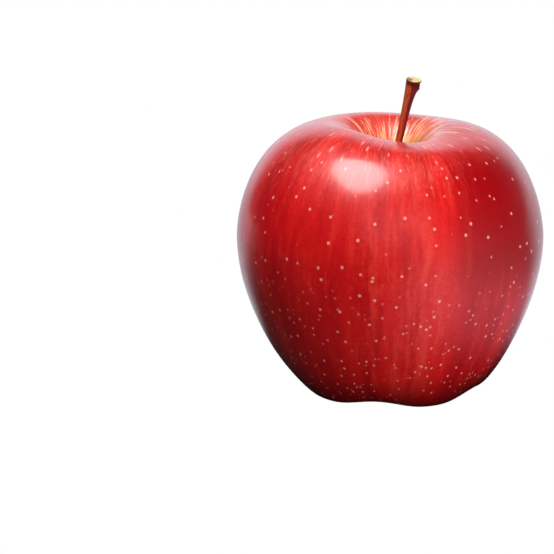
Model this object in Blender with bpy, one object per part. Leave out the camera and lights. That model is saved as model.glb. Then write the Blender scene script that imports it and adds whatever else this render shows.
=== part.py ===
"""A whole apple: the fruit, its stem, and the dried flower parts in the eye of its basin.

Metres, +Z up. The fruit stands on the flats of its five lobes, on the plane z = 0, and the origin
is on that plane under its axis. -Y is the front, and the stem leans towards +X.
"""

import math

import bmesh
import bpy
from mathutils import Matrix, Vector
from mathutils.geometry import interpolate_bezier

# Driving dimensions of the fruit.
DIAMETER = 0.080  # across the widest part
CROWN_HEIGHT = 0.0695  # the shoulder's crown, round the stem cavity
WIDEST_HEIGHT = 0.0394  # where the fruit is widest
LIP_RADIUS = 0.0164  # the crown's circle
FOOT_RADIUS = 0.0225  # the circle that the lobes stand on
FOOT_SHIFT = 0.0010  # how far that circle's middle lies towards +X
FOOT_SHIFT_FADE = 0.0190  # the height over which the shift fades out
CAVITY_DEPTH = 0.0130  # the stem cavity, below the crown
BASIN_DEPTH = 0.0090  # the basin, above the resting plane
EYE_RADIUS = 0.0022  # the pit in the middle of the basin
EYE_DEPTH = 0.0030
FLAT_DEPTH = 0.00025  # how much of each lobe's tip is flat

# How full each arc of the outline is: the lengths of its two handles.
CAVITY_HANDLES = (0.0050, 0.0085)
SHOULDER_HANDLES = (0.0179, 0.0104)
FLANK_HANDLES = (0.0167, 0.0030)
BASIN_HANDLES = (0.0079, 0.0068)
EYE_HANDLES = (0.0020, 0.0010)

# The lobes under the fruit, and the uneven swell of its shoulder.
LOBES = 5
LOBE_AZIMUTH = math.radians(-65.5)
LOBE_RISE = 0.0020  # how far the outline lifts between two lobes
LOBE_SHARPNESS = 1.4  # above 1, the valleys are narrower than the lobes
LOBE_WIDTH = 0.0130  # in from the foot's circle and out from it
LOBE_FADE = 0.0087  # the height over which the lobes fade out
SWELLS = (  # bumps round the shoulder, their height, and the azimuth of a peak
    (1, 0.00115, math.radians(127)),
    (2, 0.00070, math.radians(20)),
    (3, 0.00045, math.radians(-10)),
)
SWELL_WIDTH = 0.0120
SWELL_FADE = 0.0140

# The stem.
STEM_LENGTH = 0.0255  # above the cavity's floor
STEM_ROOT_LENGTH = 0.0060  # below it
STEM_ROOT_RADIUS = 0.0010
STEM_WAIST_RADIUS = 0.00085
STEM_END_RADIUS = 0.00185
STEM_FLARE_LENGTH = 0.0075
STEM_FLARE_SHARPNESS = 1.6  # above 1, most of the flare is near the end
STEM_LEAN = math.radians(14)
STEM_BEND = math.radians(-7)  # how much the lean changes from root to end
STEM_END_TILT = math.radians(14)  # the end looks a little to the front
SCAR_RADIUS = 0.0007  # the bud scar, a little knob on the flare
SCAR_BELOW_END = 0.0022

# The dried sepals, stamens and styles.
SEPALS = 5
SEPAL_RING_RADIUS = 0.0034
SEPAL_WAIST_RADIUS = 0.0021
SEPAL_LENGTH = 0.0048  # down from the basin
SEPAL_WAIST_DROP = 0.0028  # down from the basin to the waist
SEPAL_WIDTH = 0.0028
SEPAL_TAPER = 1.5  # above 1, most of the narrowing is near the tip
SEPAL_TIP_SHARE = 0.12  # how wide a tip is beside the rest
SEPAL_THICKNESS = 0.0005
SEPAL_FLARE = 0.0018  # how far a tip turns out again
STAMENS = 10
STAMEN_ROOT = 0.0010  # up in the eye's pit
STAMEN_LENGTH = 0.0024  # down from the eye's rim
STAMEN_TOOTH = 0.0008
STAMEN_WALL = 0.0004
STYLES_RADIUS = 0.0004
STYLES_WAIST = 0.00014  # how much slimmer the stub is in its middle
STYLES_LENGTH = 0.0056

CLEARANCE = 0.0003  # between pieces that seat on or in each other

# Fineness of the meshes.
FRUIT_SEGMENTS = 60
CAVITY_STEPS = 9
SHOULDER_STEPS = 11
FLANK_STEPS = 12
BASIN_STEPS = 9
EYE_STEPS = 5
STEM_SEGMENTS = 16
STEM_RINGS = 14
SEPAL_SEGMENTS = 10
SEPAL_STEPS = 5
STYLES_STEPS = 4
FINE_STEPS = 60
EPSILON = 1e-7

INWARD = Vector((-1, 0, 0))
ACROSS = Vector((0, 1, 0))
UP = Vector((0, 0, 1))


def clear_scene():
    for leftover in list(bpy.data.objects):
        bpy.data.objects.remove(leftover, do_unlink=True)


def material(name, color, roughness):
    made = bpy.data.materials.new(name)
    made.use_nodes = True
    shader = made.node_tree.nodes["Principled BSDF"]
    shader.inputs["Base Color"].default_value = (*color, 1)
    shader.inputs["Roughness"].default_value = roughness
    shader.inputs["Metallic"].default_value = 0
    made.diffuse_color = (*color, 1)
    return made


def add_object(name, bm, finish):
    """Puts a bmesh in the scene as one smooth-shaded object."""
    bmesh.ops.recalc_face_normals(bm, faces=bm.faces)
    mesh = bpy.data.meshes.new(name)
    bm.to_mesh(mesh)
    bm.free()
    mesh.shade_smooth()
    mesh.set_sharp_from_angle(angle=math.radians(50))
    mesh.materials.append(finish)
    made = bpy.data.objects.new(name, mesh)
    bpy.context.scene.collection.objects.link(made)
    return made


# The fruit's outline, as (radius, height) along X and Z.


def on_outline(radius, height):
    return Vector((radius, 0, height))


def arc(start, start_handle, end, end_handle, steps):
    """One Bezier arc of the outline. Each handle is an offset from its end."""
    return interpolate_bezier(start, start + start_handle, end + end_handle, end, steps)


def basin_arc(steps):
    """From the lobes' foot to the rim of the eye."""
    foot = on_outline(FOOT_RADIUS, -FLAT_DEPTH)
    rim = on_outline(EYE_RADIUS, BASIN_DEPTH)
    return arc(foot, INWARD * BASIN_HANDLES[0], rim, -INWARD * BASIN_HANDLES[1], steps)


def eye_arc(steps):
    """From the rim of the eye up to the bottom of its pit."""
    rim = on_outline(EYE_RADIUS, BASIN_DEPTH)
    pit = on_outline(0, BASIN_DEPTH + EYE_DEPTH)
    return arc(rim, UP * EYE_HANDLES[0], pit, -INWARD * EYE_HANDLES[1], steps)


def outline():
    """From the floor of the stem cavity, over the shoulder and down, to the bottom of the eye."""
    floor = on_outline(0, CROWN_HEIGHT - CAVITY_DEPTH)
    crown = on_outline(LIP_RADIUS, CROWN_HEIGHT)
    widest = on_outline(DIAMETER / 2, WIDEST_HEIGHT)
    foot = on_outline(FOOT_RADIUS, -FLAT_DEPTH)
    arcs = (
        arc(floor, -INWARD * CAVITY_HANDLES[0], crown, INWARD * CAVITY_HANDLES[1], CAVITY_STEPS),
        arc(crown, -INWARD * SHOULDER_HANDLES[0], widest, UP * SHOULDER_HANDLES[1], SHOULDER_STEPS),
        arc(widest, -UP * FLANK_HANDLES[0], foot, -INWARD * FLANK_HANDLES[1], FLANK_STEPS),
        basin_arc(BASIN_STEPS),
        eye_arc(EYE_STEPS),
    )
    return [point for run in arcs for point in run[:-1]] + [arcs[-1][-1]]


def near_foot(radius, height, fade):
    """1 on the foot's circle, and less away from it."""
    return math.exp(-(((radius - FOOT_RADIUS) / LOBE_WIDTH) ** 2) - max(height, 0) / fade)


def lobe_lift(radius, azimuth, height):
    """How far the underside lifts between the lobes."""
    between = (1 - math.cos(LOBES * (azimuth - LOBE_AZIMUTH))) / 2
    return LOBE_RISE * between**LOBE_SHARPNESS * near_foot(radius, height, LOBE_FADE)


def shoulder_lift(radius, azimuth, height):
    """The shoulder's uneven swell. It fades out away from the crown."""
    swell = sum(rise * math.cos(count * (azimuth - peak)) for count, rise, peak in SWELLS)
    below_crown = max(CROWN_HEIGHT - height, 0)
    return swell * math.exp(-(((radius - LIP_RADIUS) / SWELL_WIDTH) ** 2) - below_crown / SWELL_FADE)


def shape_fruit(bm):
    """Gives the turned shape its lobes, its foot off the axis and its uneven shoulder."""
    for vert in bm.verts:
        x, y, z = vert.co
        radius, azimuth = math.hypot(x, y), math.atan2(y, x)
        vert.co.x = x + FOOT_SHIFT * near_foot(radius, z, FOOT_SHIFT_FADE)
        vert.co.z = z + lobe_lift(radius, azimuth, z) + shoulder_lift(radius, azimuth, z)


def cut_flats(bm):
    """Cuts the tips of the lobes off at the resting plane and closes each one with a flat face."""
    cut = bmesh.ops.bisect_plane(
        bm,
        geom=bm.verts[:] + bm.edges[:] + bm.faces[:],
        plane_co=(0, 0, 0),
        plane_no=(0, 0, -1),
        clear_outer=True,
    )
    edges = [item for item in cut["geom_cut"] if isinstance(item, bmesh.types.BMEdge)]
    bmesh.ops.holes_fill(bm, edges=edges, sides=0)


def make_fruit():
    bm = bmesh.new()
    points = [bm.verts.new(point) for point in outline()]
    edges = [bm.edges.new(pair) for pair in zip(points, points[1:])]
    bmesh.ops.spin(
        bm,
        geom=points + edges,
        cent=(0, 0, 0),
        axis=(0, 0, 1),
        angle=2 * math.pi,
        steps=FRUIT_SEGMENTS,
        use_merge=True,
    )
    bmesh.ops.remove_doubles(bm, verts=bm.verts, dist=EPSILON)
    shape_fruit(bm)
    cut_flats(bm)
    return add_object("fruit", bm, material("apple_skin", (0.52, 0.012, 0.022), 0.25))


# The stem.


def cavity_floor():
    """The middle of the cavity's floor, with the shoulder's swell."""
    height = CROWN_HEIGHT - CAVITY_DEPTH
    return Vector((0, 0, height + shoulder_lift(0, 0, height)))


def stem_direction(along):
    """The stem's direction. It is straight below the floor, and then bends by STEM_BEND in all."""
    lean = STEM_LEAN + STEM_BEND * max(along, 0) / STEM_LENGTH
    return Vector((math.sin(lean), 0, math.cos(lean)))


def stem_point(along):
    """The stem's centre line, at a distance along it from the cavity's floor."""
    middle = stem_direction(along / 2)
    return cavity_floor() + middle * along


def stem_radius(along):
    """Even in the root, then a slim waist, then the flare of the end."""
    if along <= 0:
        return STEM_ROOT_RADIUS
    taper = min(along / (STEM_LENGTH - STEM_FLARE_LENGTH), 1)
    flare = max(1 - (STEM_LENGTH - along) / STEM_FLARE_LENGTH, 0)
    waist = STEM_ROOT_RADIUS + (STEM_WAIST_RADIUS - STEM_ROOT_RADIUS) * taper
    return waist + (STEM_END_RADIUS - STEM_WAIST_RADIUS) * flare**STEM_FLARE_SHARPNESS


def flare_offset(radius):
    """The end flares to one side, the side that the stem leans to."""
    return max(radius - STEM_ROOT_RADIUS, 0)


def add_ring(bm, centre, direction, radius, segments):
    """A ring of points round a direction that lies in the XZ plane."""
    outward = ACROSS.cross(direction)
    turns = (2 * math.pi * step / segments for step in range(segments))
    return [bm.verts.new(centre + radius * (outward * math.cos(t) + ACROSS * math.sin(t))) for t in turns]


def skin_rings(bm, rings):
    """Joins each ring to the next with quads and closes both ends."""
    for lower, upper in zip(rings, rings[1:]):
        for step, point in enumerate(lower):
            after = (step + 1) % len(lower)
            bm.faces.new((point, lower[after], upper[after], upper[step]))
    bm.faces.new(rings[0])
    bm.faces.new(rings[-1])


def make_stem():
    bm = bmesh.new()
    whole = STEM_ROOT_LENGTH + STEM_LENGTH
    rings = []
    for step in range(STEM_RINGS + 1):
        along = -STEM_ROOT_LENGTH + whole * step / STEM_RINGS
        radius = stem_radius(along)
        direction = stem_direction(along)
        aside = ACROSS.cross(direction) * flare_offset(radius)
        rings.append(add_ring(bm, stem_point(along) + aside, direction, radius, STEM_SEGMENTS))
    for point in rings[-1]:
        point.co += direction * point.co.y * math.tan(STEM_END_TILT)
    skin_rings(bm, rings)
    stem = add_object("stem", bm, material("stem_bark", (0.24, 0.07, 0.02), 0.55))
    add_bud_scar(stem)
    return stem


def add_bud_scar(stem):
    """Joins a little knob to the flare, on the side that the stem leans to."""
    along = STEM_LENGTH - SCAR_BELOW_END
    radius = stem_radius(along)
    outward = ACROSS.cross(stem_direction(along))
    bm = bmesh.new()
    bmesh.ops.create_icosphere(bm, subdivisions=2, radius=SCAR_RADIUS)
    place = stem_point(along) + outward * (flare_offset(radius) + radius - SCAR_RADIUS / 3)
    bmesh.ops.translate(bm, verts=bm.verts, vec=place)
    scar = add_object("bud_scar", bm, stem.active_material)
    as_helper(scar)
    join = stem.modifiers.new("Bud scar", "BOOLEAN")
    join.operation = "UNION"
    join.object = scar


def as_helper(guide):
    """A cutter or a shape that another object takes in. It is no node of its own."""
    guide.hide_render = True
    guide.display_type = "WIRE"


def cut_stem_socket(fruit):
    """A blind hole in the cavity's floor that holds the stem's root, with clearance all round."""
    bottom = stem_point(-STEM_ROOT_LENGTH) - stem_direction(0) * CLEARANCE
    top = stem_point(0) + stem_direction(0) * CAVITY_DEPTH / 2
    bm = bmesh.new()
    rings = [
        add_ring(bm, end, stem_direction(0), STEM_ROOT_RADIUS + CLEARANCE, STEM_SEGMENTS)
        for end in (bottom, top)
    ]
    skin_rings(bm, rings)
    cutter = add_object("stem_socket", bm, fruit.active_material)
    as_helper(cutter)
    cut = fruit.modifiers.new("Stem socket", "BOOLEAN")
    cut.operation = "DIFFERENCE"
    cut.object = cutter


# The dried flower in the eye.


def basin_height(radius):
    """The basin's height above the resting plane at a radius between the eye and the foot."""
    points = basin_arc(FINE_STEPS)
    for outer, inner in zip(points, points[1:]):
        if inner.x <= radius <= outer.x:
            share = (radius - inner.x) / (outer.x - inner.x)
            return inner.z + (outer.z - inner.z) * share
    return BASIN_DEPTH


def eye_room(height):
    """The radius of the eye's pit at a height above its rim."""
    points = eye_arc(FINE_STEPS)
    for lower, upper in zip(points, points[1:]):
        if lower.z <= height <= upper.z:
            share = (height - lower.z) / (upper.z - lower.z)
            return lower.x + (upper.x - lower.x) * share
    return 0


def sepal_seat():
    """The height of the sepals' upper ends, clear of the basin all over their width."""
    corner = math.hypot(SEPAL_RING_RADIUS + SEPAL_THICKNESS, SEPAL_WIDTH / 2)
    return basin_height(corner) - CLEARANCE


def sepal_spine():
    """Down from the basin, in to the waist, and out again to the tip."""
    seat = sepal_seat()
    root = on_outline(SEPAL_RING_RADIUS, seat)
    waist = on_outline(SEPAL_WAIST_RADIUS, seat - SEPAL_WAIST_DROP)
    tip = on_outline(SEPAL_WAIST_RADIUS + SEPAL_FLARE, seat - SEPAL_LENGTH)
    handle = -UP * SEPAL_WAIST_DROP / 3
    tip_handle = (waist - tip) / 3
    first = interpolate_bezier(root, root + handle, waist - handle, waist, SEPAL_STEPS)
    second = interpolate_bezier(waist, waist + handle, tip + tip_handle, tip, SEPAL_STEPS)
    return first + second[1:]


def sepal_width(share, radius):
    """Narrower towards the tip, and never wider than its room between the two beside it."""
    room = 2 * (radius - SEPAL_THICKNESS) * math.tan(math.pi / SEPALS) - CLEARANCE
    return min(SEPAL_WIDTH * max(1 - share**SEPAL_TAPER, SEPAL_TIP_SHARE), room)


def sepal_ring(bm, centre, outward, width, thickness):
    """An oval section across Y."""
    ring = []
    for step in range(SEPAL_SEGMENTS):
        turn = 2 * math.pi * step / SEPAL_SEGMENTS
        aside = ACROSS * width / 2 * math.cos(turn)
        ring.append(bm.verts.new(centre + aside + outward * thickness / 2 * math.sin(turn)))
    return ring


def sepal_bmesh():
    """One sepal, on the +X side of the eye."""
    bm = bmesh.new()
    spine = sepal_spine()
    last = len(spine) - 1
    rings = []
    for step, centre in enumerate(spine):
        along = spine[min(step + 1, last)] - spine[max(step - 1, 0)]
        outward = ACROSS.cross(along).normalized() if step else INWARD
        width = sepal_width(step / last, centre.x)
        rings.append(sepal_ring(bm, centre, outward, width, SEPAL_THICKNESS * (1 - step / last / 2)))
    skin_rings(bm, rings)
    return bm


def make_sepals():
    first = add_object("sepal_1", sepal_bmesh(), material("dried_sepal", (0.10, 0.035, 0.015), 0.8))
    for number in range(2, SEPALS + 1):
        sepal = bpy.data.objects.new(f"sepal_{number}", first.data)
        sepal.rotation_euler.z = 2 * math.pi * (number - 1) / SEPALS
        bpy.context.scene.collection.objects.link(sepal)


def toothed_ring(bm, height, radius, tooth):
    """A ring of the stamens' sleeve, whose every other point lies lower by a tooth's length."""
    ring = []
    for step in range(2 * STAMENS):
        turn = math.pi * step / STAMENS
        lower = tooth * (step % 2)
        ring.append(bm.verts.new((radius * math.cos(turn), radius * math.sin(turn), height - lower)))
    return ring


def make_stamens():
    """The withered filaments, grown together in a sleeve that lines the eye and frays at its end."""
    top = BASIN_DEPTH + STAMEN_ROOT
    seat = eye_room(top) - CLEARANCE
    # The sepals' inner faces come closest at their waist.
    mouth = min(seat, SEPAL_WAIST_RADIUS - SEPAL_THICKNESS / 2 - CLEARANCE)
    sides = (
        (top, seat, 0),
        (BASIN_DEPTH, mouth, 0),
        (BASIN_DEPTH - STAMEN_LENGTH, mouth, STAMEN_TOOTH),
    )
    bm = bmesh.new()
    outer = [toothed_ring(bm, height, radius, tooth) for height, radius, tooth in sides]
    inner = [toothed_ring(bm, height, radius - STAMEN_WALL, tooth) for height, radius, tooth in sides]
    loop = outer + inner[::-1]
    for ring, after in zip(loop, loop[1:] + loop[:1]):
        for step, point in enumerate(ring):
            other = (step + 1) % len(ring)
            bm.faces.new((point, ring[other], after[other], after[step]))
    add_object("stamens", bm, material("dried_stamens", (0.30, 0.16, 0.09), 0.85))


def make_styles():
    """The stub of the styles, which have grown together, waisted in the middle."""
    pit = on_outline(0, BASIN_DEPTH + EYE_DEPTH - CLEARANCE - STYLES_RADIUS)
    bm = bmesh.new()
    rings = []
    for step in range(STYLES_STEPS + 1):
        share = step / STYLES_STEPS
        radius = STYLES_RADIUS - STYLES_WAIST * math.sin(math.pi * share)
        centre = pit - UP * STYLES_LENGTH * share
        rings.append(add_ring(bm, centre, -UP, radius, SEPAL_SEGMENTS))
    skin_rings(bm, rings)
    add_object("styles", bm, material("dried_styles", (0.14, 0.05, 0.02), 0.8))


def main():
    clear_scene()
    fruit = make_fruit()
    make_stem()
    cut_stem_socket(fruit)
    make_sepals()
    make_stamens()
    make_styles()


main()
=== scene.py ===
# %% [markdown]
# # A red apple
#
# A whole dessert apple stands on its five lobes. It is one waxy skin over one body, with a woody
# stem in a deep cavity, and in the hollow underneath lie the dried remains of its flower: five
# sepals, a tuft of stamens and the stub of the styles. The design with all its sizes is loaded
# first and never changes. Each piece below is modelled around it.

import math
import random

import bpy
from mathutils import Matrix, Vector


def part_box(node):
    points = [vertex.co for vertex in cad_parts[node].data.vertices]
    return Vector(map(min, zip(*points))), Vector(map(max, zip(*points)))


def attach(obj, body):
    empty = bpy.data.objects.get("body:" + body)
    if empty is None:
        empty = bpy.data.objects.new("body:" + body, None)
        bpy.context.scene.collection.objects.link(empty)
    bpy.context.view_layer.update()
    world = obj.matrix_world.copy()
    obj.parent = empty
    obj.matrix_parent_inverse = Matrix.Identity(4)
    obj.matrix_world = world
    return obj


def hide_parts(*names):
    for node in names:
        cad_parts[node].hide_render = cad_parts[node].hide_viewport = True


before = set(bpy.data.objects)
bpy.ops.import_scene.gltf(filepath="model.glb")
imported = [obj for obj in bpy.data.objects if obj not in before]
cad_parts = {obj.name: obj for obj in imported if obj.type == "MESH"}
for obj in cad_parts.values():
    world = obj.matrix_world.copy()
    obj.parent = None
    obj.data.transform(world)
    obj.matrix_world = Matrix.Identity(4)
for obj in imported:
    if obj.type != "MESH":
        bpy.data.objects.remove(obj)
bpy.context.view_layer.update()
fruit_low, fruit_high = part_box("fruit")
MM = 0.001
print("the fruit is", [round(side / MM, 1) for side in fruit_high - fruit_low], "mm")

# %% [markdown]
# ## The camera
#
# A long lens from a little above keeps the apple's shape true. A short lens close by would swell
# the near shoulder and hide the cavity.

# %% The camera
bpy.ops.object.select_all(action="DESELECT")

LENS = 135
CAMERA_PLACE = (-0.02945, -0.53142, 0.15759)
CAMERA_TILT = math.radians(13.58)  # down from level


def place_camera():
    bpy.ops.object.camera_add(location=CAMERA_PLACE, rotation=(math.pi / 2 - CAMERA_TILT, 0, 0))
    camera = bpy.context.object
    camera.data.lens = LENS
    camera.data.sensor_width = 36
    camera.data.clip_start = 0.01
    bpy.context.scene.camera = camera


place_camera()
print("a lens of", LENS, "mm looks", round(math.degrees(CAMERA_TILT), 1), "degrees down")
bpy.context.scene.view_settings.view_transform = "Standard"  # keeps a strong red strong

# %% [markdown]
# ## How a finish is written
#
# A material is a tree of nodes. Placing them one by one is hard to read, so a `Value` stands for
# one output of a node and takes part in ordinary sums: `1 - mask` adds the Math node for it. A
# `Finish` holds one material and adds any other node with `node`.


# %% Values
class Value:
    """One output of a node. A sum written with it adds the Math nodes that work it out."""

    def __init__(self, finish, socket):
        self.finish = finish
        self.socket = socket

    def math(self, operation, *others):
        return self.finish.math(operation, self, *others)

    def __add__(self, other):
        return self.math("ADD", other)

    def __radd__(self, other):
        return self.finish.math("ADD", other, self)

    def __sub__(self, other):
        return self.math("SUBTRACT", other)

    def __rsub__(self, other):
        return self.finish.math("SUBTRACT", other, self)

    def __mul__(self, other):
        return self.math("MULTIPLY", other)

    def __rmul__(self, other):
        return self.finish.math("MULTIPLY", other, self)

    def __truediv__(self, other):
        return self.math("DIVIDE", other)


# %% Finishes
class Finish:
    """One material, or the world, and the nodes added to it."""

    def __init__(self, owner):
        self.owner = owner
        owner.use_nodes = True
        self.tree = owner.node_tree

    def node(self, kind, settings=None, sockets=None, output=0):
        """Adds a node: its settings first, then a number, a colour or a Value for each socket."""
        made = self.tree.nodes.new(kind)
        for name, setting in (settings or {}).items():
            setattr(made, name, setting)
        self.fill(made, sockets or {})
        return Value(self, made.outputs[output])

    def fill(self, made, sockets):
        for name, given in sockets.items():
            if isinstance(given, Value):
                self.tree.links.new(given.socket, made.inputs[name])
            else:
                made.inputs[name].default_value = given

    def math(self, operation, *terms):
        return self.node("ShaderNodeMath", {"operation": operation}, dict(enumerate(terms)))

    def vector(self, x, y, z):
        return self.node("ShaderNodeCombineXYZ", {}, {0: x, 1: y, 2: z})

    def parts(self, vector):
        """The x, y and z of a place or a direction."""
        return [self.node("ShaderNodeSeparateXYZ", {}, {0: vector}, axis) for axis in range(3)]

    def step(self, value, low, high):
        """0 at low and 1 at high, with soft ends. Low may be the larger one."""
        settings = {"interpolation_type": "SMOOTHSTEP"}
        return self.node("ShaderNodeMapRange", settings, {0: value, 1: low, 2: high})

    def mix(self, share, first, second):
        """A colour between two. Share 0 gives the first."""
        settings = {"data_type": "RGBA"}
        return self.node("ShaderNodeMix", settings, {0: share, 6: first, 7: second}, 2)

    def noise(self, place, scale, detail=2.0, roughness=0.5):
        sockets = {"Vector": place, "Scale": scale, "Detail": detail, "Roughness": roughness}
        return self.node("ShaderNodeTexNoise", {}, sockets)

    def bump(self, strength, distance, height):
        """A normal that leans with a height, which is given as 0 to 1 of the distance."""
        sockets = {"Strength": strength, "Distance": distance, "Height": height}
        return self.node("ShaderNodeBump", {}, sockets)

    def shade(self, sockets):
        """Fills in the sockets of the material's own Principled shader."""
        self.fill(self.tree.nodes["Principled BSDF"], sockets)


# %% Colours
def srgb(red, green, blue):
    """A colour from the numbers that a colour picker shows, 0 to 255."""
    def linear(level):
        share = level / 255
        return share / 12.92 if share <= 0.04045 else ((share + 0.055) / 1.055) ** 2.4

    return (linear(red), linear(green), linear(blue), 1)


print("a middle grey of 128 is", round(srgb(128, 128, 128)[0], 3), "of the full light")

# %% [markdown]
# ## The studio
#
# A waxed apple mirrors what stands round it, so half of its look is the studio. One bright sky
# would be simple, but it turns the skin milky all over. Here a big soft box nearly overhead makes
# the single window of light on the shoulder, white surroundings behind draw a pale rim along both
# sides, and darkness in front keeps the red deep. Soft lamps that the skin doesn't mirror bring
# out its colour. The floor is white to the camera, but the skin meets it as a table in half
# shade: black under the foot and to the left, grey to the right, and white behind.

# %% The floor
FLOOR_SIZE = 8
BLACK = (0, 0, 0, 1)
WHITE = (1, 1, 1, 1)
# What the skin sees of the floor is painted: shade in black under the foot and to the left, greys
# of half shade to the right, and light behind and to the right.
PAINTED_SHADE_BLACK = (0.02, 0.02, 0.02, 1)
NEAR_HALF_SHADE = (0.19, 0.17, 0.23, 1)
FAR_HALF_SHADE = (0.06, 0.055, 0.07, 1)
BEHIND_GLOW = (0.62, 0.59, 0.65, 1)
RIGHT_LIFT = (1.7, 1.6, 1.6, 1)
# Where the floor changes, in metres from the apple's axis, or along X for the two sides.
CONTACT_END = (0.034, 0.056)
NEAR_END = (0.07, 0.16)
LEFT_END = (-0.03, 0.035)
GLOW_START = (0.035, 0.07)
LIFT_START = (0.035, 0.065)
LIFT_SIDE = (-0.005, 0.07)
BEHIND = (0.35, 0.75)  # y over the distance, so 1 is straight behind


def table_bounce(finish, x, radius):
    """How much light the floor throws back: painted shade on the floor, black under the foot and
    to the left, grey to the right.
    """
    half_shade = finish.mix(finish.step(radius, *NEAR_END), NEAR_HALF_SHADE, FAR_HALF_SHADE)
    bounce = finish.mix(finish.step(x, *LEFT_END), PAINTED_SHADE_BLACK, half_shade)
    return finish.mix(finish.step(radius, *CONTACT_END), PAINTED_SHADE_BLACK, bounce)


def table_glow(finish, x, y, radius):
    """Its own light: white behind the apple, and on the right a lift that isn't mirrored."""
    behind = finish.step(y / (radius + MM), *BEHIND) * finish.step(radius, *GLOW_START)
    glow = finish.mix(behind, BLACK, BEHIND_GLOW)
    soft = finish.node("ShaderNodeLightPath", output="Is Diffuse Ray")
    lift = finish.step(x, *LIFT_SIDE) * finish.step(radius, *LIFT_START)
    return finish.mix(soft * lift, glow, RIGHT_LIFT)


def lay_floor():
    bpy.ops.mesh.primitive_plane_add(size=FLOOR_SIZE)
    floor = bpy.context.object
    floor.name = "floor"
    finish = Finish(bpy.data.materials.new("pale_floor"))
    seen = finish.node("ShaderNodeLightPath", output="Is Camera Ray")
    place = finish.node("ShaderNodeTexCoord", output="Object")
    x, y, _ = finish.parts(place)
    radius = (x * x + y * y).math("SQRT")
    finish.shade({
        "Base Color": finish.mix(seen, table_bounce(finish, x, radius), BLACK),
        "Roughness": 0.9,
        "Specular IOR Level": 0,
        "Emission Color": finish.mix(seen, table_glow(finish, x, y, radius), WHITE),
        "Emission Strength": 1,
    })
    floor.data.materials.append(finish.owner)


lay_floor()
print("the floor is", FLOOR_SIZE, "m square")

# %% The lamps
WINDOW_TURN = -12
FILL_LAMPS = (  # name, azimuth and elevation in degrees, distance, width and height, power
    ("overhead", -20, 82, 0.9, (0.6, 0.6), 6.0),
    ("front_fill", 2, 24, 1.2, (1.0, 0.5), 9.4),
    ("low_right", 62, 2, 0.9, (0.5, 0.5), 0.8),
    ("upper_left", -105, 55, 0.8, (0.5, 0.5), 3.0),
)


def toward(azimuth, elevation):
    """A direction from the apple. Azimuth 0 is the front and 90 is +X."""
    around, up = math.radians(azimuth), math.radians(elevation)
    return Vector((
        math.sin(around) * math.cos(up),
        -math.cos(around) * math.cos(up),
        math.sin(up),
    ))


def hang_lamp(name, azimuth, elevation, distance, size, power, turn=None):
    """A soft box that looks at the apple and only lights its colour.

    With a turn, it is an oval that looks straight down and shows only as a highlight.
    """
    way = toward(azimuth, elevation)
    place = Vector((0, 0, fruit_high.z / 2)) + way * distance
    mirrored = turn is not None
    aim = (0, 0, math.radians(turn)) if mirrored else way.to_track_quat("Z", "Y").to_euler()
    bpy.ops.object.light_add(type="AREA", location=place, rotation=aim)
    lamp = bpy.context.object
    lamp.name = name
    lamp.visible_glossy = mirrored
    lamp.visible_diffuse = not mirrored
    lamp.data.shape = "ELLIPSE" if mirrored else "RECTANGLE"
    lamp.data.size, lamp.data.size_y = size
    lamp.data.energy = power


hang_lamp("window", -50, 64.5, 0.79, (0.45, 0.69), 6.4, turn=WINDOW_TURN)
for lamp_facts in FILL_LAMPS:
    hang_lamp(*lamp_facts)
print("lamps:", len(FILL_LAMPS) + 1)

# %% The surroundings
BACK_LEVEL = 0.9
BACK_COLOR = (0.95, 0.91, 1.0, 1)
BACK_EDGE = (0.50, 0.80)
FRONT_LEVEL = 0.01
CARD_LEVEL = 0.09
CARD_SLOPE = 0.24
CARD_TOP = (0.0, 0.03)
CARD_SIDE = (-0.4, 0.1)


def paint_surroundings():
    """White behind and along a low card in front, dark elsewhere. The camera sees plain white."""
    world = bpy.data.worlds.new("studio")
    bpy.context.scene.world = world
    finish = Finish(world)
    x, y, z = finish.parts(finish.node("ShaderNodeTexCoord", output="Generated"))
    back = finish.step(y + 0.25 * x.math("MINIMUM", 0) - 0.22 * z, *BACK_EDGE)
    card = (1 - finish.step(z + CARD_SLOPE * y, *CARD_TOP)) * finish.step(x, *CARD_SIDE)
    level = FRONT_LEVEL + back * (BACK_LEVEL - FRONT_LEVEL)
    level = level.math("MAXIMUM", card * CARD_LEVEL)
    seen = finish.node("ShaderNodeLightPath", output="Is Camera Ray")
    background = finish.tree.nodes["Background"]
    tint = finish.mix(seen, BACK_COLOR, WHITE)
    finish.fill(background, {"Strength": level * (1 - seen) + seen, "Color": tint})
    return len(finish.tree.nodes)


print("the surroundings take", paint_surroundings(), "nodes")

# %% [markdown]
# ## The skin
#
# The skin is one closed surface that dives into the stem cavity at the top and into the eye
# underneath. It could be sculpted from a ball, but an apple is nearly a turned shape, so its
# outline is drawn as a curve and spun. That gives clean quads that run round and down, the way
# the streaks do. The spun shape is then laid over a smoothed copy of the design's fruit, which
# gives it the five lobes and the uneven shoulder, and a little unevenness of its own.


# %% Helpers for modelling
def pick(obj):
    """Makes one object the only one selected, and the active one."""
    bpy.ops.object.select_all(action="DESELECT")
    obj.select_set(True)
    bpy.context.view_layer.objects.active = obj
    return obj


def modify(obj, kind, **settings):
    """Adds a modifier and applies it."""
    pick(obj)
    modifier = obj.modifiers.new(kind, kind)
    for name, setting in settings.items():
        setattr(modifier, name, setting)
    bpy.ops.object.modifier_apply(modifier=modifier.name)


def subdivide(obj, levels):
    modify(obj, "SUBSURF", levels=levels, render_levels=levels)


def remove(obj):
    mesh = obj.data
    bpy.data.objects.remove(obj)
    bpy.data.meshes.remove(mesh)


def edit(obj, mode="VERT"):
    """Opens one object in edit mode with nothing selected."""
    pick(obj)
    bpy.ops.object.mode_set(mode="EDIT")
    bpy.ops.mesh.select_mode(type=mode)
    bpy.ops.mesh.select_all(action="DESELECT")


def close_edit():
    bpy.ops.object.mode_set(mode="OBJECT")


# %% A smooth last, like a shoemaker's
LAST_LEVELS = 2


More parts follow.
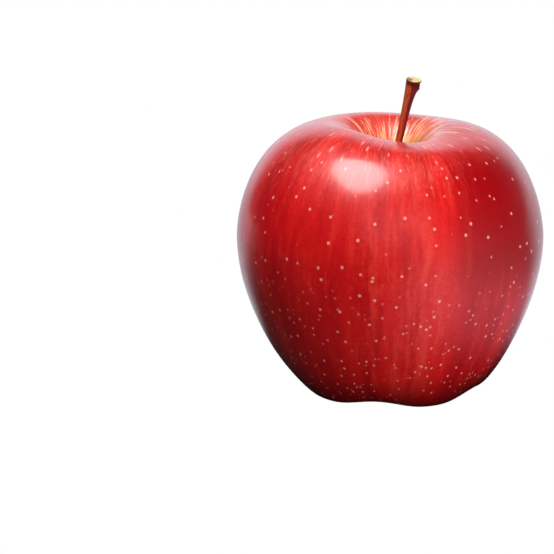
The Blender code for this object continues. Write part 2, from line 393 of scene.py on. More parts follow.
def make_last():
    """A merged, smoothed copy of the design's fruit, thrown away once the skin lies over it."""
    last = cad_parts["fruit"].copy()
    last.data = last.data.copy()
    last.name = "last"
    last.parent = None
    bpy.context.scene.collection.objects.link(last)
    edit(last)
    bpy.ops.mesh.select_all(action="SELECT")
    bpy.ops.mesh.remove_doubles(threshold=1e-6)
    close_edit()
    subdivide(last, LAST_LEVELS)
    return last


last = make_last()
print("the last has", len(last.data.polygons), "faces")

# %% The outline, drawn
WIDEST = fruit_high.y
# Each knot: radius and height, then the handles before and after it, all in millimetres.
KNOTS = (
    ((0, 56.5), (-5.0, 0), (5.0, 0)),  # the cavity's floor
    ((16.4, 69.5), (-8.5, 0), (17.9, 0)),  # the crown
    ((WIDEST / MM, 39.4), (0, 10.4), (0, -16.7)),  # the widest part
    ((22.5, -0.25), (3.0, 0), (-7.9, 0)),  # the foot
    ((2.2, 9.0), (6.8, 0), (0, 2.0)),  # the rim of the eye
    ((0, 12.0), (1.0, 0), (-1.0, 0)),  # the bottom of the eye
)
ARC_STEPS = 12


def in_plane(point):
    return Vector((point[0] * MM, 0, point[1] * MM))


def draw_outline():
    bpy.ops.object.select_all(action="DESELECT")
    bpy.ops.curve.primitive_bezier_curve_add(enter_editmode=False)
    curve = bpy.context.object
    curve.matrix_world.identity()
    spline = curve.data.splines[0]
    spline.bezier_points.add(len(KNOTS) - 2)
    for knot, (place, before, after) in zip(spline.bezier_points, KNOTS):
        knot.handle_left_type = knot.handle_right_type = "FREE"
        knot.co = in_plane(place)
        knot.handle_left = knot.co + in_plane(before)
        knot.handle_right = knot.co + in_plane(after)
    curve.data.resolution_u = ARC_STEPS
    bpy.ops.object.convert(target="MESH")
    return bpy.context.object


skin = draw_outline()
skin.name = skin.data.name = "skin"
print("the outline has", len(skin.data.vertices), "points")

# %% The outline, measured and spun
SPIN_STEPS = 60


def measure_down(obj):
    """Gives each point its distance from the stem along the outline. The spin copies it."""
    lengths = [0.0]
    points = [vertex.co for vertex in obj.data.vertices]
    for before, after in zip(points, points[1:]):
        lengths.append(lengths[-1] + (after - before).length)
    down = obj.data.attributes.new("down_skin", "FLOAT", "POINT")
    down.data.foreach_set("value", lengths)
    return lengths[-1]


def spin_outline(obj):
    edit(obj)
    bpy.ops.mesh.select_all(action="SELECT")
    bpy.ops.mesh.spin(steps=SPIN_STEPS, angle=2 * math.pi, center=(0, 0, 0), axis=(0, 0, 1))
    bpy.ops.mesh.select_all(action="SELECT")
    bpy.ops.mesh.remove_doubles(threshold=1e-6)
    bpy.ops.mesh.normals_make_consistent(inside=False)
    close_edit()


skin_length = measure_down(skin)
spin_outline(skin)
print("the outline is", round(skin_length / MM, 1), "mm long;", len(skin.data.polygons), "faces")

# %% Laid over the last
BARE_RADIUS = 0.003  # round the stem's socket and in the eye, where the last has holes


def lay_over(obj, target):
    group = obj.vertex_groups.new(name="wrap")
    outside = [v.index for v in obj.data.vertices if math.hypot(v.co.x, v.co.y) > BARE_RADIUS]
    group.add(outside, 1, "REPLACE")
    modify(
        obj,
        "SHRINKWRAP",
        target=target,
        wrap_method="NEAREST_SURFACEPOINT",
        vertex_group=group.name,
    )
    modify(obj, "SMOOTH", factor=0.5, iterations=2)
    subdivide(obj, 2)


def fit_to_design(obj, low, high):
    """Smoothing shrinks a round thing, so it is stretched back to the design's size."""
    corners = [Vector(corner) for corner in obj.bound_box]
    own_low = Vector(min(corner[axis] for corner in corners) for axis in range(3))
    own_high = Vector(max(corner[axis] for corner in corners) for axis in range(3))
    size, own = high - low, own_high - own_low
    stretch = [size[axis] / own[axis] for axis in range(3)]
    edit(obj)
    bpy.ops.mesh.select_all(action="SELECT")
    bpy.ops.transform.resize(value=stretch, center_override=own_low)
    bpy.ops.transform.translate(value=low - own_low)
    close_edit()
    print("stretched by", [round(share, 4) for share in stretch])


lay_over(skin, last)
remove(last)
skin.data.shade_smooth()

# %% The bulges of a grown thing
BULGE = 0.00022
BULGE_SIZE = 0.016


def bulge(obj):
    clouds = bpy.data.textures.new("bulges", "CLOUDS")
    clouds.noise_scale = BULGE_SIZE
    modify(obj, "DISPLACE", texture=clouds, texture_coords="LOCAL", strength=BULGE, mid_level=0.5)


bulge(skin)
fit_to_design(skin, fruit_low, fruit_high)


def unroll(obj):
    """A map with the turn round the axis across it and the way down the skin along it."""
    layer = obj.data.uv_layers.get("OFBake") or obj.data.uv_layers.new(name="OFBake")
    down = obj.data.attributes["down_skin"].data
    for face in obj.data.polygons:
        middle = math.atan2(face.center.y, face.center.x) / (2 * math.pi)
        for loop in face.loop_indices:
            vertex = obj.data.vertices[obj.data.loops[loop].vertex_index]
            turn = math.atan2(vertex.co.y, vertex.co.x) / (2 * math.pi)
            if math.hypot(vertex.co.x, vertex.co.y) < 1e-6:
                turn = middle
            turn += round(middle - turn)
            layer.data[loop].uv = (turn + 0.5, down[vertex.index].value / skin_length)


unroll(skin)
print("the skin has", len(skin.data.polygons), "faces")

# %% [markdown]
# ### The skin's colours
#
# The skin is a yellow-green ground under a red blush. The blush is thick on the cheeks and
# breaks up into streaks in the cavity and in the basin, where the ground shows through. All
# streaks run from stem to eye, so their pattern is read from the direction round the axis and the
# way down the skin, and not from plain x, y and z, which would give blotches. Pale breathing
# pores dot the skin: few and long on the shoulder, many and small near the foot.

# %% The skin's places
WANDER = 0.05  # how far a streak strays to the side, as a share of the way round
WANDER_SCALE = 90

skin_finish = Finish(bpy.data.materials.new("waxed_apple_skin"))


def skin_places(finish):
    """A point's object coordinates, its direction round the axis, and its way down the skin."""
    place = finish.node("ShaderNodeTexCoord", output="Object")
    x, y, _ = finish.parts(place)
    radius = (x * x + y * y).math("SQRT").math("MAXIMUM", 1e-5)
    down = finish.node("ShaderNodeAttribute", {"attribute_name": "down_skin"}, {}, "Fac")
    return place, x / radius, y / radius, down


place, east, north, down = skin_places(skin_finish)
from_eye = skin_length - down


def streaks(round_scale, down_scale, offset=0.0, detail=2.0, roughness=0.5):
    """Noise drawn out along the way from stem to eye."""
    wander = skin_finish.noise(place, WANDER_SCALE, 1.0) * WANDER
    along = skin_finish.vector(
        (east + wander) * round_scale + offset, (north + wander) * round_scale, down * down_scale
    )
    return skin_finish.noise(along, 1.0, detail, roughness)


def facing(azimuth, width):
    """1 where the skin faces an azimuth, in degrees from +X, and 0 beyond a width to each side."""
    turn = math.radians(azimuth)
    toward_it = east * math.cos(turn) + north * math.sin(turn)
    return skin_finish.step(toward_it, math.cos(math.radians(width)), 1.0)


def reach(start, full, way=down):
    """0 at one distance down the skin and 1 at the other, in millimetres from the stem."""
    return skin_finish.step(way, start * MM, full * MM)


# %% The red, its streaks, and painted light and shade
CRIMSON = srgb(186, 2, 14)
CORAL = srgb(230, 26, 24)
PALE_CORAL = srgb(238, 84, 66)
DARK_CRIMSON = srgb(158, 0, 10)

broad = streaks(4.5, 16, 3.0)
medium = streaks(15, 45, 7.0)
fine = streaks(38, 170, 11.0, 2.0, 0.55)
hair = streaks(110, 420, 17.0, 2.0)
mottle = skin_finish.noise(place, 800, 3.0, 0.6)
tone = 0.48 * broad + 0.24 * medium + 0.12 * fine + 0.06 * hair + 0.10 * mottle

# Painted light: a lighter coral where the skin faces the front. Painted shade: a darker crimson on
# the front-right cheek.
painted_light_front = facing(-91, 36)
painted_shade_right = facing(-38, 36) * reach(28, 42) * reach(78, 60)  # painted shade on the front-right cheek, round the girth only
coral_and_painted_light = skin_finish.step(tone + 0.12 * painted_light_front - 0.10 * painted_shade_right, 0.40, 0.78)
red = skin_finish.mix(coral_and_painted_light, CRIMSON, CORAL)

# Pale coral streaks, partly the skin's own and partly a painted sheen, which grows further down
# and a little towards the front. The cavity is paler coral too.
pale = 0.50 * medium + 0.20 * fine + 0.10 * hair + 0.20 * mottle + 0.07 * facing(-84, 24)
glow = skin_finish.step(pale, 0.50, 0.75) * (0.26 + 0.14 * reach(48, 66))
red = skin_finish.mix(glow.math("MAXIMUM", reach(26, 14) * 0.55), red, PALE_CORAL)

# Dark crimson in the skin's own darker streaks, and as painted shade on the front-right cheek.
deep = skin_finish.step(tone - 0.04 * painted_shade_right, 0.50, 0.34) * 0.45
red = skin_finish.mix(deep.math("MAXIMUM", painted_shade_right), red, DARK_CRIMSON)

# %% Painted shade at the foot, and the shoulder's flecks
FOOT_SHADE_MAROON = srgb(112, 0, 12)
FLECK_PEACH = srgb(246, 146, 116)

# Painted shade: a darker maroon round the foot, where the apple stands on the floor.
foot_shade = reach(94, 110) * reach(8, 22, from_eye)
red = skin_finish.mix(foot_shade * 0.85, red, FOOT_SHADE_MAROON)
fleck = skin_finish.step(streaks(75, 230, 29.0, 3.0, 0.7), 0.50, 0.66)
fleck = fleck * reach(52, 36) * (1 - painted_shade_right)
red = skin_finish.mix(fleck * 0.30, red, FLECK_PEACH)

# %% The ground, from the stem outwards
GROUND_CREAM = srgb(245, 180, 132)
GROUND_GOLD = srgb(236, 190, 100)
GROUND_PEACH = srgb(244, 172, 140)
GROUND_OLIVE = srgb(168, 136, 46)
GROUND_RUSSET = srgb(150, 104, 52)

ground = skin_finish.mix(reach(0, 10), GROUND_CREAM, GROUND_GOLD)
ground = skin_finish.mix(reach(7, 15), ground, GROUND_PEACH)
olive = facing(10, 60) * reach(2, 6) * reach(16, 9)
ground = skin_finish.mix(olive, ground, GROUND_OLIVE)
russet = reach(10, 2, from_eye + (mottle - 0.5) * 0.012)
ground = skin_finish.mix(russet * 0.7, ground, GROUND_RUSSET)

# %% The blush over the ground, broken into rays at both ends
rays = streaks(17, 85, 23.0, 4.0, 0.72)
edge = 0.0084 + 0.0066 * facing(12, 80) + 0.0020 * facing(165, 60)
blush_top = reach(-2.5, 5.0, down + (rays - 0.5) * 0.085 - edge)
blush_foot = reach(-4, 6, from_eye + (rays - 0.5) * 0.040 - 0.012)
flesh = skin_finish.mix(blush_top * blush_foot, ground, red)

grain = skin_finish.noise(place, 1900, 2.0, 0.7)
pale_grain = skin_finish.step(grain, 0.52, 0.72) * (0.05 + 0.15 * coral_and_painted_light)
flesh = skin_finish.mix(pale_grain, flesh, PALE_CORAL)
dark_grain = skin_finish.step(grain, 0.46, 0.28) * 0.25
flesh = skin_finish.mix(dark_grain, flesh, DARK_CRIMSON)

# %% The pores
PORE_COLOR = srgb(255, 172, 162)
PORE_GIRTH = 0.040  # the radius at which a pore is round
SHOULDER = 0.036  # above this far down, pores are drawn out
FEW_APART = 0.0033
MANY_APART = 0.0024
FEW_SIZE = 0.00056
FEW_GROWTH = 0.00024  # how much larger they are on the shoulder
MANY_SIZE = 0.00052


def pores(apart, size, offset):
    """Dots, longer than wide where the skin is narrower than at its girth."""
    drawn_out = down.math("MINIMUM", SHOULDER) * 0.45 + (down - SHOULDER).math("MAXIMUM", 0)
    spot = skin_finish.vector(east * PORE_GIRTH + offset, north * PORE_GIRTH, drawn_out)
    sockets = {"Vector": spot, "Scale": 1 / apart, "Randomness": 0.9}
    distance = skin_finish.node("ShaderNodeTexVoronoi", {}, sockets, "Distance") * apart
    return 1 - skin_finish.step(distance, size * 0.35, size)


few = pores(FEW_APART, FEW_SIZE + FEW_GROWTH * reach(46, 26), 0.1) * reach(14, 24)
many = pores(MANY_APART, MANY_SIZE, 0.3) * reach(62, 88)
pore = few.math("MAXIMUM", many) * reach(6, 14, from_eye)
pore = pore * (0.55 + 0.25 * reach(30, 50))
flesh = skin_finish.mix(pore, flesh, PORE_COLOR)

# %% The skin's gloss
PEEL_DEPTH = 0.00009

peel = skin_finish.noise(place, 2000, 2.0)
relief = 0.6 * peel + 0.25 * hair + 0.15 * fine
bump = skin_finish.bump(0.4, PEEL_DEPTH, relief - 0.5 * pore)
skin_finish.shade({
    "Base Color": flesh,
    "Roughness": 0.34 + 0.10 * medium,
    "Normal": bump,
    "IOR": 1.45,
    "Coat Weight": reach(4, 20),
    "Coat Roughness": 0.17,
})
skin.data.materials.append(skin_finish.owner)
print("the skin's finish takes", len(skin_finish.tree.nodes), "nodes")

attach(skin, "root")
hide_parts("fruit")

# %% [markdown]
# ## The stem
#
# The stem is woody, as thick as a match, and leans a little. It was picked from the tree, so it
# flares at its end, where it let go of the spur, into a pale scar with a ragged rim, and a small
# bud scar sits on one side. A curve with a bevel would give an even tube, so it is grown instead:
# a disc at its root is extruded from station to station, moved, turned and sized at each.


# %% Growing from station to station
def grow(stations):
    """Extrudes what is selected through stations: each a middle, a lean about Y and a size."""
    for (middle, lean, size), (after, after_lean, after_size) in zip(stations, stations[1:]):
        bpy.ops.mesh.extrude_region_move(TRANSFORM_OT_translate={"value": after - middle})
        share = after_size / size
        bpy.ops.transform.resize(value=(share, share, share), center_override=after)
        bpy.ops.transform.rotate(value=lean - after_lean, orient_axis="Y", center_override=after)


def start_disc(name, sides, station):
    """A disc at the first station, open in edit mode and all selected."""
    middle, lean, size = station
    bpy.ops.object.select_all(action="DESELECT")
    bpy.ops.mesh.primitive_circle_add(
        vertices=sides, radius=size, fill_type="NGON", location=middle, rotation=(0, lean, 0)
    )
    disc = bpy.context.object
    disc.name = disc.data.name = name
    bpy.ops.object.transform_apply()
    bpy.ops.object.mode_set(mode="EDIT")
    bpy.ops.mesh.select_mode(type="FACE")
    bpy.ops.mesh.select_all(action="SELECT")
    return disc


def tidy_normals():
    bpy.ops.mesh.select_all(action="SELECT")
    bpy.ops.mesh.normals_make_consistent(inside=False)


# %% The stem, from its root to its end
STEM_LENGTH = 25.5  # in millimetres, from the cavity's floor
STEM_LEAN = math.radians(14)
STEM_BEND = math.radians(-7)
STEM_WAIST = 0.85
STEM_RADII = (  # how far up from the cavity's floor, and the radius there, in millimetres
    (-3.0, 0.85),
    (0.0, 0.85),
    (3.5, 0.80),
    (8.0, 0.94),
    (12.5, 1.02),
    (16.5, 1.10),
    (19.5, 1.24),
    (21.5, 1.46),
    (23.0, 1.70),
    (23.9, 1.88),
    (24.4, 1.93),
    (24.8, 1.84),
    (25.2, 2.02),
    (25.6, 2.05),
)


def stem_lean(along):
    return STEM_LEAN + STEM_BEND * max(along, 0) / STEM_LENGTH


def stem_station(along, radius):
    """The stem leans less towards its end, and flares to the side that it leans to."""
    half, lean = stem_lean(along / 2), stem_lean(along)
    middle = in_plane(KNOTS[0][0]) + Vector((math.sin(half), 0, math.cos(half))) * along * MM
    aside = Vector((math.cos(lean), 0, -math.sin(lean)))
    return middle + aside * max(radius - STEM_WAIST, 0) * MM, lean, radius * MM


STEM_SIDES = 16
STEM_KNOBBLE = 0.00004


def grow_stem():
    stations = [stem_station(*pair) for pair in STEM_RADII]
    stem = start_disc("picked_stem", STEM_SIDES, stations[0])
    grow(stations)
    bpy.ops.mesh.select_all(action="SELECT")
    bpy.ops.transform.vertex_random(offset=STEM_KNOBBLE, seed=4)
    close_edit()
    return stem


# %% Its end, tilted to the front
STEM_END_TILT = math.radians(14)
TILT_REACH = 0.0025  # how far down the stem the tilt fades out
TILT_GRIP = 1.15  # how far round the end's middle it turns in full, beside the end's radius


def tilt_end(stem):
    """Turns the last few rings to the front, less and less further down."""
    middle, lean, radius = stem_station(*STEM_RADII[-1])
    edit(stem)
    close_edit()
    for vertex in stem.data.vertices:
        vertex.select = (vertex.co - middle).length < radius * TILT_GRIP
    bpy.ops.object.mode_set(mode="EDIT")
    bpy.ops.transform.rotate(
        value=-STEM_END_TILT,
        orient_axis="X",
        center_override=middle,
        use_proportional_edit=True,
        proportional_edit_falloff="SMOOTH",
        proportional_size=TILT_REACH,
    )
    close_edit()


# %% The scar where it was picked
END_RINGS = (  # how deep each ring lies, in millimetres, and its share of the end's radius
    (0.0, 1.00),
    (0.02, 0.90),
    (0.22, 0.80),
    (0.20, 0.45),
    (0.08, 0.22),
    (0.10, 0.08),
)
SCAR_DEPTH = 0.4 * MM  # the scar is marked down to here
SCAR_SHARE = 0.93  # and this far out


def hollow_end(stem):
    """A thin rim, then a shallow dish with a raised middle."""
    edit(stem, "FACE")
    close_edit()
    end = max(stem.data.polygons, key=lambda face: (len(face.vertices), face.center.z))
    end.select = True
    middle, lean, radius = stem_station(*STEM_RADII[-1])
    outward = Vector((math.sin(lean), 0, math.cos(lean)))
    bpy.ops.object.mode_set(mode="EDIT")
    grow([(middle - outward * depth * MM, lean, radius * share) for depth, share in END_RINGS])
    tidy_normals()
    close_edit()


def mark_end(stem):
    """An attribute that is 1 on the scar, for its pale wood."""
    middle, lean, radius = stem_station(*STEM_RADII[-1])
    outward = Vector((math.sin(lean), 0, math.cos(lean)))
    mark = stem.data.attributes.new("pale_end", "FLOAT", "POINT")
    for vertex, entry in zip(stem.data.vertices, mark.data):
        across = (vertex.co - middle) - outward * (vertex.co - middle).dot(outward)
        near = (vertex.co - middle).dot(outward) > -SCAR_DEPTH
        entry.value = float(near and across.length < radius * SCAR_SHARE)


# %% A bud scar on the flare
BUD_ALONG = 23.2
BUD_RADIUS = 1.55
BUD_FRONT = -0.35  # how far it faces the front, beside the way that the stem leans
BUD_RISE = 0.0006
BUD_REACH = 0.0012


def raise_bud_scar(stem):
    """Pulls a little knob out of the flare, with the bark round it following."""
    middle, lean, radius = stem_station(BUD_ALONG, BUD_RADIUS)
    aside = Vector((math.cos(lean), BUD_FRONT, -math.sin(lean))).normalized()
    place = middle + aside * radius
    edit(stem)
    close_edit()
    nearest = min(stem.data.vertices, key=lambda vertex: (vertex.co - place).length)
    nearest.select = True
    bpy.ops.object.mode_set(mode="EDIT")
    bpy.ops.transform.translate(
        value=aside * BUD_RISE,
        use_proportional_edit=True,
        proportional_edit_falloff="SHARP",
        proportional_size=BUD_REACH,
    )
    close_edit()


# %% The stem, put together
stem = grow_stem()
hollow_end(stem)
mark_end(stem)
tilt_end(stem)
subdivide(stem, 1)
raise_bud_scar(stem)
subdivide(stem, 2)
stem.data.shade_smooth()
print("the stem has", len(stem.data.polygons), "faces")

# %% [markdown]
# ### The bark
#
# The bark is thin, smooth and red-brown, lighter and more orange on its left and redder on its
# right:
# partly its own colours and partly painted light from the left and painted shade on the right. It
# has fine fibres along it and a dark band under the scar. The scar is pale wood with an
# olive-brown middle. One finish holds both, because the change between them is soft.

# %% The stem's colours
BARK_ORANGE = srgb(184, 64, 20)
BARK_TAN = srgb(156, 86, 52)
BARK_RED = srgb(112, 8, 6)
BARK_DARK = srgb(62, 8, 6)
SCAR_CREAM = srgb(226, 190, 140)
SCAR_OLIVE = srgb(140, 108, 62)


def color_bark(finish, x, y, z, fibres, patches):
    """Orange on the left and red on the right, partly the bark's own colours and partly painted
    light and shade, with tan patches and a dark band on top.
    """
    end = STEM_LENGTH * MM
    red_side_and_painted_shade = finish.step(x + (fibres - 0.5) * 0.0012, 0.0004, 0.0010)
    bark = finish.mix(red_side_and_painted_shade, BARK_ORANGE, BARK_RED)
    bark = finish.mix(finish.step(fibres, 0.52, 0.36) * 0.55, bark, BARK_DARK)
    upper = finish.step(z, end - 0.012, end - 0.003) * (1 - red_side_and_painted_shade)
    bark = finish.mix(finish.step(patches, 0.40, 0.62) * upper * 0.85, bark, BARK_TAN)
    bark = finish.mix(finish.step(z, 0.006, 0.0) * 0.4, bark, BARK_RED)
    band = finish.step(z + (patches - 0.5) * 0.0006 - y * 0.25, end - 0.0016, end - 0.0010)
    return finish.mix(band * 0.85, bark, BARK_DARK)


def color_scar(finish, x, y, grain):
    """Cream wood with an olive heart and olive specks."""
    across = (x * x + y * y).math("SQRT")
    heart = finish.step(across + (grain - 0.5) * 0.0008, 0.0013, 0.0006)
    wood = finish.mix(heart, SCAR_CREAM, SCAR_OLIVE)
    return finish.mix(finish.step(grain, 0.50, 0.30) * 0.5, wood, SCAR_OLIVE)


# %% The stem's finish
FIBRE_SCALE = 2600
PATCH_SCALE = 700
GRAIN_SCALE = 3200
BARK_DEPTH = 0.00012


def straightened(finish):
    """The stem's own x, y and z: z runs up along it from the cavity's floor."""
    lean = STEM_LEAN + STEM_BEND / 2
    root = Matrix.Rotation(-lean, 3, "Y") @ in_plane(KNOTS[0][0])
    place = finish.node("ShaderNodeTexCoord", output="Object")
    sockets = {"Vector": place, "Rotation": (0, -lean, 0), "Location": -root}
    straight = finish.node("ShaderNodeMapping", {}, sockets)
    return finish.parts(straight)


def paint_bark():
    finish = Finish(bpy.data.materials.new("woody_stem"))
    x, y, z = straightened(finish)
    fibres = finish.noise(finish.vector(x, y, z * 0.08), FIBRE_SCALE, 3.0, 0.6)
    patches = finish.noise(finish.vector(x, y, z * 0.5), PATCH_SCALE, 2.0)
    grain = finish.noise(finish.vector(x, y, z), GRAIN_SCALE, 3.0)
    bark = color_bark(finish, x, y, z, fibres, patches)
    scar = color_scar(finish, x, y, grain)
    pale = finish.node("ShaderNodeAttribute", {"attribute_name": "pale_end"}, {}, "Fac")
    finish.shade({
        "Base Color": finish.mix(finish.step(pale, 0.3, 0.7), bark, scar),
        "Roughness": 0.42 + 0.2 * fibres + 0.2 * pale,
        "Normal": finish.bump(0.6, BARK_DEPTH, fibres * 0.7 + grain * 0.3),
    })
    return finish.owner


def finish_piece(piece, node, material):
    """Gives a piece its finish, and says which part of the design it stands for."""
    piece.data.materials.clear()
    piece.data.materials.append(material)
    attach(piece, "root")
    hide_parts(node)
    print(piece.name, "stands for", node, "and wears", material.name)


finish_piece(stem, "stem", paint_bark())

# %% [markdown]
# ## The dried flower
#
# In the eye of the basin sit the flower's remains. Each sepal is a thin, dry leaf that hangs from
# the basin, draws in to a waist and curls out at its tip. One is grown from a short row of edges,
# thickened, and copied round the eye. Each copy is then crumpled by the same clouds at its own
# place, so that no two are alike.

# %% One sepal
SEPAL_COUNT = 5
SEPAL_STATIONS = (  # radius from the axis, height, lean and half width, in millimetres and degrees
    (3.5, 8.75, 170, 1.30),
    (3.3, 8.0, 190, 1.40),
    (2.9, 7.1, 205, 1.35),
    (2.4, 6.2, 200, 1.15),
    (2.25, 5.4, 180, 0.92),
    (2.5, 4.6, 150, 0.66),
    (3.1, 4.05, 115, 0.40),
    (3.75, 3.95, 80, 0.14),
)
SEPAL_CUP = 0.35  # how far its edges lie towards the axis, beside its half width
SEPAL_THICKNESS = 0.00022
SEPAL_ROW = 6  # edges across


def sepal_station(radius, height, lean, half_width):
    return in_plane((radius, height)), math.radians(lean), half_width * MM


def grow_sepal():
    """A row of edges across, cupped, and extruded down the sepal's length."""
    stations = [sepal_station(*numbers) for numbers in SEPAL_STATIONS]
    middle, lean, half_width = stations[0]
    bpy.ops.object.select_all(action="DESELECT")
    bpy.ops.mesh.primitive_grid_add(
        x_subdivisions=1, y_subdivisions=SEPAL_ROW, size=2 * half_width
    )
    sepal = bpy.context.object
    sepal.name = sepal.data.name = "dried_sepal_1"
    edit(sepal)
    close_edit()
    for vertex in sepal.data.vertices:
        vertex.select = vertex.co.x < 0
    bpy.ops.object.mode_set(mode="EDIT")
    bpy.ops.mesh.delete(type="VERT")
    bpy.ops.mesh.select_all(action="SELECT")
    close_edit()
    for vertex in sepal.data.vertices:
        share = vertex.co.y / half_width
        vertex.co = middle + Vector((-SEPAL_CUP * half_width * share * share, vertex.co.y, 0))
    bpy.ops.object.mode_set(mode="EDIT")
    grow(stations)
    close_edit()
    return sepal


sepal = grow_sepal()
modify(sepal, "SOLIDIFY", thickness=SEPAL_THICKNESS, offset=0)
subdivide(sepal, 2)
print("one sepal has", len(sepal.data.polygons), "faces")

# %% Five sepals, each crumpled its own way
CRUMPLE = 0.0007
CRUMPLE_SIZE = 0.0011
SEPAL_UNEVENNESS = 0.05  # how far a sepal stands off its fifth of the turn, in radians


def copy_piece(piece, name):
    made = piece.copy()
    made.data = piece.data.copy()
    made.name = made.data.name = name
    bpy.context.scene.collection.objects.link(made)
    return made


def turn_round(piece, angle):
    """Turns a piece's mesh about the apple's axis."""
    edit(piece)
    bpy.ops.mesh.select_all(action="SELECT")
    bpy.ops.transform.rotate(value=-angle, orient_axis="Z", center_override=(0, 0, 0))
    close_edit()


def crumple(piece, size, strength):
    clouds = bpy.data.textures.new(piece.name + "_crumple", "CLOUDS")
    clouds.noise_scale = size
    modify(
        piece,
        "DISPLACE",
        texture=clouds,
        texture_coords="LOCAL",
        strength=strength,
        mid_level=0.5,
    )
    edit(piece)
    tidy_normals()
    close_edit()
    piece.data.shade_smooth()


names = [f"dried_sepal_{number}" for number in range(2, SEPAL_COUNT + 1)]
sepals = [sepal] + [copy_piece(sepal, name) for name in names]
for number, piece in enumerate(sepals):
    unevenness = SEPAL_UNEVENNESS * math.sin(number * 2.3)
    turn_round(piece, 2 * math.pi * number / SEPAL_COUNT + unevenness)
    crumple(piece, CRUMPLE_SIZE, CRUMPLE)
print("sepals:", len(sepals))

# %% [markdown]
# ### Stamens and styles
#
# Between the sepals hangs a tuft of withered stamens: fine threads, each with the shrunken remains
# of its anther, and in their middle the stub of the five styles. A thread is a disc extruded
# along a bend. One is modelled, and its copies are turned, leaned and sized by a seeded draw and
# joined, because they are one tangled piece.

# %% One stamen
THREAD_SIDES = 6
THREAD_STATIONS = (  # distance out, height, lean in degrees and radius
    (1.35, 10.3, 180, 0.13),
    (1.38, 9.4, 182, 0.12),
    (1.42, 8.5, 176, 0.10),
    (1.45, 7.6, 184, 0.09),
    (1.38, 6.8, 190, 0.09),
    (1.25, 6.3, 196, 0.12),
    (1.14, 6.0, 200, 0.24),
    (1.02, 5.65, 202, 0.26),
    (0.92, 5.35, 202, 0.12),
)


def thread_station(out, height, lean, radius):
    return in_plane((out, height)), math.radians(lean), radius * MM


def grow_thread(name, stations):
    thread = start_disc(name, THREAD_SIDES, stations[0])
    grow(stations)
    tidy_normals()
    close_edit()
    return thread


thread = grow_thread("thread", [thread_station(*numbers) for numbers in THREAD_STATIONS])
print("one thread has", len(thread.data.polygons), "faces")

# %% The tuft
STAMEN_COUNT = 17
STRETCHES = (0.82, 1.15)
LEANS = (("Y", -0.16, 0.13), ("X", -0.15, 0.15))  # an axis, and the ends of the turn in radians
SHIFTS = (-0.35, 0.05)  # in millimetres, most of them towards the apple's axis
SWAY = 0.3  # how far a thread strays from its place in the ring, in shares of the gap
TUFT_CRUMPLE = 0.0003
TUFT_CRUMPLE_SIZE = 0.0016


def gather_tuft(thread, count, draw):
    """Copies one thread round the eye, each leaned and stretched a little, and joins them all."""
    root = in_plane(THREAD_STATIONS[0][:2])
    threads = []
    for number in range(count):
        piece = copy_piece(thread, f"thread_{number}")
        edit(piece)
        bpy.ops.mesh.select_all(action="SELECT")
        stretch = draw.uniform(*STRETCHES)
        bpy.ops.transform.resize(value=(1, 1, stretch), center_override=root)
        for axis, least, most in LEANS:
            lean = draw.uniform(least, most)
            bpy.ops.transform.rotate(value=lean, orient_axis=axis, center_override=root)
        bpy.ops.transform.translate(value=(draw.uniform(*SHIFTS) * MM, 0, 0))
        close_edit()
        turn_round(piece, 2 * math.pi * (number + draw.uniform(-SWAY, SWAY)) / count)
        threads.append(piece)
    remove(thread)
    bpy.ops.object.select_all(action="DESELECT")
    for piece in threads:
        piece.select_set(True)
    bpy.context.view_layer.objects.active = threads[0]
    bpy.ops.object.join()
    tuft = bpy.context.object
    tuft.name = tuft.data.name = "withered_stamens"
    subdivide(tuft, 1)
    crumple(tuft, TUFT_CRUMPLE_SIZE, TUFT_CRUMPLE)
    return tuft


tuft = gather_tuft(thread, STAMEN_COUNT, random.Random(7))
print("the tuft has", len(tuft.data.polygons), "faces")

# %% The stub of the styles
STUB_SIDES = 10
STUB_STATIONS = (  # height and radius
    (11.6, 0.42),
    (10.6, 0.36),
    (9.4, 0.30),
    (8.2, 0.27),
    (7.2, 0.30),
    (6.6, 0.40),
    (6.2, 0.52),
    (6.0, 0.40),
)
STYLE_COUNT = 5
STYLE_PINCH = 0.30  # how deep the valleys between the styles are, as a share of the radius
STUB_CRUMPLE = 0.0002
STUB_CRUMPLE_SIZE = 0.0008


def grow_stub():
    """A waisted stub whose end is pinched into the five broken styles."""
    stations = [(in_plane((0, height)), math.pi, radius * MM) for height, radius in STUB_STATIONS]
    stub = start_disc("styles_stub", STUB_SIDES, stations[0])
    grow(stations)
    tidy_normals()
    close_edit()
    for vertex in stub.data.vertices:
        turn = math.atan2(vertex.co.y, vertex.co.x)
        pinch = 1 - STYLE_PINCH * (0.5 - 0.5 * math.cos(STYLE_COUNT * turn))
        vertex.co.x *= pinch
        vertex.co.y *= pinch
    subdivide(stub, 2)
    crumple(stub, STUB_CRUMPLE_SIZE, STUB_CRUMPLE)
    return stub


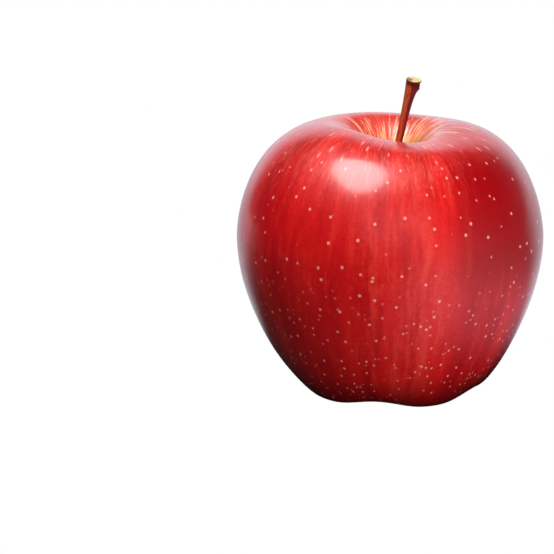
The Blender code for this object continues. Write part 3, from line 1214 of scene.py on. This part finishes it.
stub = grow_stub()
print("the stub has", len(stub.data.polygons), "faces")

# %% [markdown]
# ### The dried finish
#
# Dried sepals are dark brown, almost black in their folds, with a dull grey down on the outside.
# The threads are paler, a pinkish tan that darkens towards the anthers. Both are dry and matt, so
# one recipe with two sets of colours serves both.

# %% Paint for the dried parts
FUZZ_GREY = srgb(168, 140, 112)
SEPAL_BROWNS = (srgb(112, 66, 42), srgb(52, 24, 16), srgb(70, 22, 18))  # pale, dark and tip
THREAD_TANS = (srgb(206, 150, 120), srgb(140, 84, 60), srgb(84, 40, 28))
DRIED_SCALE = 900
FUZZ_SCALE = 6000
DRIED_DEPTH = 0.00015
SEPAL_TIPS = 0.0045  # the height below which the tips' colour starts
THREAD_TIPS = 0.0066


def paint_dried(name, colors, tip_height):
    """Two browns in fine patches, with the tips, which hang lowest, in a colour of their own."""
    pale, dark, tip_color = colors
    finish = Finish(bpy.data.materials.new(name))
    place = finish.node("ShaderNodeTexCoord", output="Object")
    _, _, z = finish.parts(place)
    patches = finish.noise(place, DRIED_SCALE, 3.0, 0.6)
    fuzz = finish.noise(place, FUZZ_SCALE)
    brown = finish.mix(finish.step(patches, 0.40, 0.62), dark, pale)
    tips = finish.step(z + (patches - 0.5) * 0.0012, tip_height + 0.0008, tip_height - 0.0006)
    brown = finish.mix(tips * 0.8, brown, tip_color)
    brown = finish.mix(finish.step(fuzz, 0.56, 0.70) * 0.35, brown, FUZZ_GREY)
    finish.shade({
        "Base Color": brown,
        "Roughness": 0.75 + 0.2 * patches,
        "Normal": finish.bump(0.7, DRIED_DEPTH, patches * 0.6 + fuzz * 0.4),
    })
    return finish.owner


sepal_paint = paint_dried("dried_sepals", SEPAL_BROWNS, SEPAL_TIPS)
for number, piece in enumerate(sepals, start=1):
    finish_piece(piece, f"sepal_{number}", sepal_paint)

thread_paint = paint_dried("withered_threads", THREAD_TANS, THREAD_TIPS)
finish_piece(tuft, "stamens", thread_paint)
finish_piece(stub, "styles", sepal_paint)
